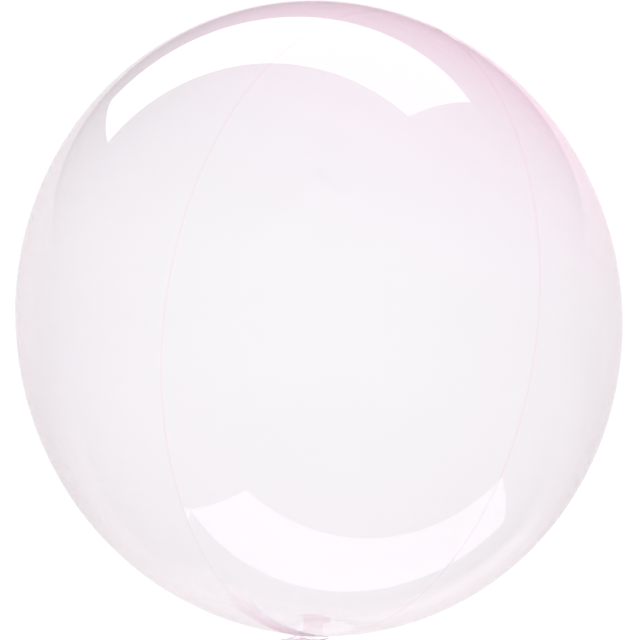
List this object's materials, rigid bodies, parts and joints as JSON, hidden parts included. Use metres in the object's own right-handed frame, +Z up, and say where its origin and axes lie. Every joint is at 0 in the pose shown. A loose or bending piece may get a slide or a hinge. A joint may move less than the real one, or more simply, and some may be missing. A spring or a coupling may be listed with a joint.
{
  "type": "clear bubble balloon",
  "caption": "Clear, faintly pink film bubble balloon, slightly longer than wide, with a welded seam ring, a flat filling neck folded on the floor and a valve sleeve in its mouth.",
  "frame": {"origin": "point of the floor under the middle of the body, on the flat spot that the balloon rests on", "axes": "+Z up, -Y to the front, where the neck lies on the floor, +X to the right seen from the front"},
  "size_m": [0.4574, 0.4566, 0.4771],
  "materials": {
    "clear_film": "glossy clear stretch film with a faint pink tint",
    "valve_film": "thin translucent pink film, several layers"
  },
  "bodies": {
    "root": {"envelope": "clear_film", "valve_sleeve": "valve_film"}
  },
  "joints": []
}
